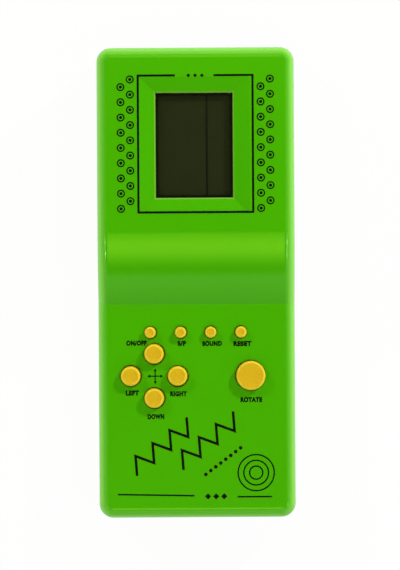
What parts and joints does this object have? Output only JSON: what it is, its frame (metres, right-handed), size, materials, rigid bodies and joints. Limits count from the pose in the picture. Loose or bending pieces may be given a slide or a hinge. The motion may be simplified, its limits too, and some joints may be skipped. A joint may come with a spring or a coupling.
{
  "type": "handheld game console",
  "caption": "Flat handheld game console with a raised screen end, a sunken display window, round spring-back keys, a hinged battery door in the back and its electronics inside.",
  "frame": {"origin": "under the middle of the case, on its flat back", "axes": "+X to the right seen from the front, +Y along the case towards the screen end, +Z out of the front face"},
  "size_m": [0.0754, 0.18, 0.03],
  "materials": {
    "case_green": "glossy moulded",
    "key_yellow": "satin moulded",
    "lens_clear": "clear polished",
    "gasket_foam": "matt foam",
    "polariser_film": "smooth film",
    "display_glass": "clear polished",
    "reflector_film": "satin",
    "carrier_white": "matt moulded",
    "ribbon_film": "smooth film",
    "keypad_rubber": "matt",
    "pill_carbon": "matt",
    "board_laminate": "lacquered",
    "chip_resin": "glossy resin",
    "capacitor_sleeve": "glossy sleeve",
    "resistor_body": "matt",
    "screw_steel": "zinc plated",
    "cell_sleeve": "printed sleeve",
    "contact_nickel": "nickel plated",
    "spring_steel": "nickel plated",
    "lead_red": "smooth insulation",
    "lead_black": "smooth insulation",
    "buzzer_brass": "bright",
    "buzzer_ceramic": "silvered"
  },
  "bodies": {
    "case": {"front_shell": "case_green", "rear_shell": "case_green", "case_screws": "screw_steel", "carrier_screws": "screw_steel", "board_screws": "screw_steel", "screen_lens": "lens_clear", "lens_gasket": "gasket_foam", "lcd_polariser": "polariser_film", "lcd_front_glass": "display_glass", "lcd_rear_glass": "display_glass", "lcd_reflector": "reflector_film", "lcd_carrier": "carrier_white", "lcd_ribbon": "ribbon_film", "keypad_mat": "keypad_rubber", "circuit_board": "board_laminate", "chip_cover": "chip_resin", "filter_capacitor": "capacitor_sleeve", "resistors": "resistor_body", "upper_cell": "cell_sleeve", "lower_cell": "cell_sleeve", "positive_contact": "contact_nickel", "negative_contact": "contact_nickel", "bridge_contact": "contact_nickel", "negative_spring": "spring_steel", "bridge_spring": "spring_steel", "positive_lead": "lead_red", "negative_lead": "lead_black", "buzzer_plate": "buzzer_brass", "buzzer_ceramic": "buzzer_ceramic", "buzzer_plate_lead": "lead_black", "buzzer_ceramic_lead": "lead_red", "power_dome": "keypad_rubber", "start_dome": "keypad_rubber", "sound_dome": "keypad_rubber", "reset_dome": "keypad_rubber", "up_dome": "keypad_rubber", "left_dome": "keypad_rubber", "right_dome": "keypad_rubber", "down_dome": "keypad_rubber", "rotate_dome": "keypad_rubber"},
    "power_key": {"power_button": "key_yellow", "power_pill": "pill_carbon"},
    "start_key": {"start_button": "key_yellow", "start_pill": "pill_carbon"},
    "sound_key": {"sound_button": "key_yellow", "sound_pill": "pill_carbon"},
    "reset_key": {"reset_button": "key_yellow", "reset_pill": "pill_carbon"},
    "up_key": {"up_button": "key_yellow", "up_pill": "pill_carbon"},
    "left_key": {"left_button": "key_yellow", "left_pill": "pill_carbon"},
    "right_key": {"right_button": "key_yellow", "right_pill": "pill_carbon"},
    "down_key": {"down_button": "key_yellow", "down_pill": "pill_carbon"},
    "rotate_key": {"rotate_button": "key_yellow", "rotate_pill": "pill_carbon"},
    "door": {"battery_door": "case_green"}
  },
  "joints": [
    {"name": "power_press", "type": "slide", "parent": "case", "child": "power_key", "axis": [0, 0, -1], "range_m": [0, 0.0012], "stiffness_N_per_m": 400, "springref_m": -0.0006, "deforming": ["power_dome"]},
    {"name": "start_press", "type": "slide", "parent": "case", "child": "start_key", "axis": [0, 0, -1], "range_m": [0, 0.0012], "stiffness_N_per_m": 400, "springref_m": -0.0006, "deforming": ["start_dome"]},
    {"name": "sound_press", "type": "slide", "parent": "case", "child": "sound_key", "axis": [0, 0, -1], "range_m": [0, 0.0012], "stiffness_N_per_m": 400, "springref_m": -0.0006, "deforming": ["sound_dome"]},
    {"name": "reset_press", "type": "slide", "parent": "case", "child": "reset_key", "axis": [0, 0, -1], "range_m": [0, 0.0012], "stiffness_N_per_m": 400, "springref_m": -0.0006, "deforming": ["reset_dome"]},
    {"name": "up_press", "type": "slide", "parent": "case", "child": "up_key", "axis": [0, 0, -1], "range_m": [0, 0.0012], "stiffness_N_per_m": 400, "springref_m": -0.0006, "deforming": ["up_dome"]},
    {"name": "left_press", "type": "slide", "parent": "case", "child": "left_key", "axis": [0, 0, -1], "range_m": [0, 0.0012], "stiffness_N_per_m": 400, "springref_m": -0.0006, "deforming": ["left_dome"]},
    {"name": "right_press", "type": "slide", "parent": "case", "child": "right_key", "axis": [0, 0, -1], "range_m": [0, 0.0012], "stiffness_N_per_m": 400, "springref_m": -0.0006, "deforming": ["right_dome"]},
    {"name": "down_press", "type": "slide", "parent": "case", "child": "down_key", "axis": [0, 0, -1], "range_m": [0, 0.0012], "stiffness_N_per_m": 400, "springref_m": -0.0006, "deforming": ["down_dome"]},
    {"name": "rotate_press", "type": "slide", "parent": "case", "child": "rotate_key", "axis": [0, 0, -1], "range_m": [0, 0.0012], "stiffness_N_per_m": 400, "springref_m": -0.0006, "deforming": ["rotate_dome"]},
    {"name": "door_swing", "type": "hinge", "parent": "case", "child": "door", "pos_m": [0, 0.06855, 0.0006], "axis": [1, 0, 0], "range_deg": [0, 95]}
  ]
}
